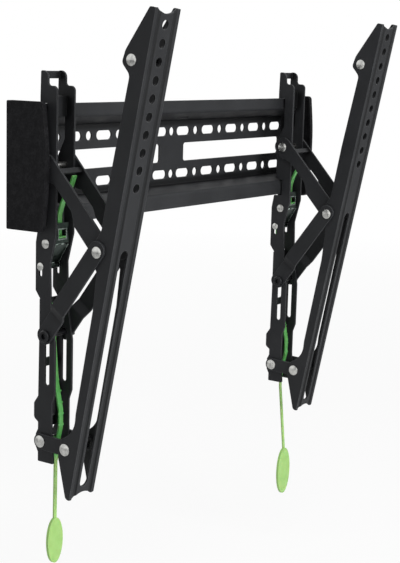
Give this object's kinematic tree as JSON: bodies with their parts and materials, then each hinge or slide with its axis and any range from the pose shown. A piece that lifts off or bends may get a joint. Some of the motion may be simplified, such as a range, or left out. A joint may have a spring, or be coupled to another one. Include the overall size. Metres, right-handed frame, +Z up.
{
  "type": "tv wall mount",
  "caption": "Tilting TV wall mount with a slotted wall plate, sliding hook-on brackets, folding arms, slotted TV rails and latches released by pull straps.",
  "frame": {"origin": "centre of the plate's wall-bolt pattern, on the plate's back face, which lies on the wall", "axes": "+X along the plate to the viewer's right, +Y into the wall, +Z up; the front is -Y"},
  "size_m": [0.467, 0.1565, 0.5477],
  "materials": {
    "black_steel": "satin powder coat",
    "cap_plastic": "fine textured",
    "zinc": "zinc plated",
    "latch_zinc": "zinc plated",
    "spring_steel": "bright drawn",
    "black_bolt": "black oxide",
    "green_strap": "moulded"
  },
  "bodies": {
    "base": {"wall_plate": "black_steel", "end_cap_left": "cap_plastic", "end_cap_right": "cap_plastic"},
    "carriage_left": {"wall_bracket_left": "black_steel", "arm_pivot_pin_left": "zinc", "link_bracket_pin_left": "zinc", "latch_guide_rivet_left": "zinc", "return_spring_left": "spring_steel"},
    "arm_left": {"upper_arm_left": "black_steel", "knee_pin_left": "zinc"},
    "rail_left": {"tv_rail_left": "black_steel", "stop_pin_left": "zinc", "link_rail_pin_left": "zinc"},
    "strut_left": {"lower_arm_near_left": "black_steel", "lower_arm_far_left": "black_steel", "slider_bolt_left": "black_bolt", "slider_nut_left": "black_bolt"},
    "link_left": {"bottom_link_left": "black_steel"},
    "latch_slider_left": {"latch_left": "latch_zinc", "latch_slide_rivet_left": "zinc", "pull_strap_left": "green_strap"},
    "carriage_right": {"wall_bracket_right": "black_steel", "arm_pivot_pin_right": "zinc", "link_bracket_pin_right": "zinc", "latch_guide_rivet_right": "zinc", "return_spring_right": "spring_steel"},
    "arm_right": {"upper_arm_right": "black_steel", "knee_pin_right": "zinc"},
    "rail_right": {"tv_rail_right": "black_steel", "stop_pin_right": "zinc", "link_rail_pin_right": "zinc"},
    "strut_right": {"lower_arm_near_right": "black_steel", "lower_arm_far_right": "black_steel", "slider_bolt_right": "black_bolt", "slider_nut_right": "black_bolt"},
    "link_right": {"bottom_link_right": "black_steel"},
    "latch_slider_right": {"latch_right": "latch_zinc", "latch_slide_rivet_right": "zinc", "pull_strap_right": "green_strap"}
  },
  "joints": [
    {"name": "bracket_slide_left", "type": "slide", "parent": "base", "child": "carriage_left", "axis": [1, 0, 0], "range_m": [0, 0.12]},
    {"name": "fold_left", "type": "hinge", "parent": "carriage_left", "child": "arm_left", "pos_m": [-0.2215, -0.0372, 0.0008], "axis": [1, 0, 0], "range_deg": [0, 31]},
    {"name": "rail_turn_left", "type": "hinge", "parent": "arm_left", "child": "rail_left", "pos_m": [-0.2215, -0.1002, -0.0687], "axis": [1, 0, 0], "range_deg": [-40.7, 0.5]},
    {"name": "strut_turn_left", "type": "hinge", "parent": "arm_left", "child": "strut_left", "pos_m": [-0.2215, -0.1002, -0.0687], "axis": [1, 0, 0], "range_deg": [-58.7, 0.5]},
    {"name": "link_turn_left", "type": "hinge", "parent": "carriage_left", "child": "link_left", "pos_m": [-0.2215, -0.0328, -0.2508], "axis": [1, 0, 0], "range_deg": [-0.5, 60.8]},
    {"name": "latch_pull_left", "type": "slide", "parent": "carriage_left", "child": "latch_slider_left", "axis": [0, 0, -1], "range_m": [0, 0.007], "stiffness_N_per_m": 400, "springref_m": -0.006, "deforming": ["return_spring_left"]},
    {"name": "bracket_slide_right", "type": "slide", "parent": "base", "child": "carriage_right", "axis": [1, 0, 0], "range_m": [-0.078, 0.01]},
    {"name": "fold_right", "type": "hinge", "parent": "carriage_right", "child": "arm_right", "pos_m": [0.1785, -0.0372, 0.0008], "axis": [1, 0, 0], "range_deg": [0, 31]},
    {"name": "rail_turn_right", "type": "hinge", "parent": "arm_right", "child": "rail_right", "pos_m": [0.1785, -0.1002, -0.0687], "axis": [1, 0, 0], "range_deg": [-40.7, 0.5]},
    {"name": "strut_turn_right", "type": "hinge", "parent": "arm_right", "child": "strut_right", "pos_m": [0.1785, -0.1002, -0.0687], "axis": [1, 0, 0], "range_deg": [-58.7, 0.5]},
    {"name": "link_turn_right", "type": "hinge", "parent": "carriage_right", "child": "link_right", "pos_m": [0.1785, -0.0328, -0.2508], "axis": [1, 0, 0], "range_deg": [-0.5, 60.8]},
    {"name": "latch_pull_right", "type": "slide", "parent": "carriage_right", "child": "latch_slider_right", "axis": [0, 0, -1], "range_m": [0, 0.007], "stiffness_N_per_m": 400, "springref_m": -0.006, "deforming": ["return_spring_right"]}
  ],
  "couplings": [
    {"joint": "rail_turn_left", "follows": "fold_left", "ratio": -1.29},
    {"joint": "strut_turn_left", "follows": "fold_left", "ratio": -1.8725},
    {"joint": "link_turn_left", "follows": "fold_left", "ratio": 1.94},
    {"joint": "rail_turn_right", "follows": "fold_right", "ratio": -1.29},
    {"joint": "strut_turn_right", "follows": "fold_right", "ratio": -1.8725},
    {"joint": "link_turn_right", "follows": "fold_right", "ratio": 1.94}
  ]
}
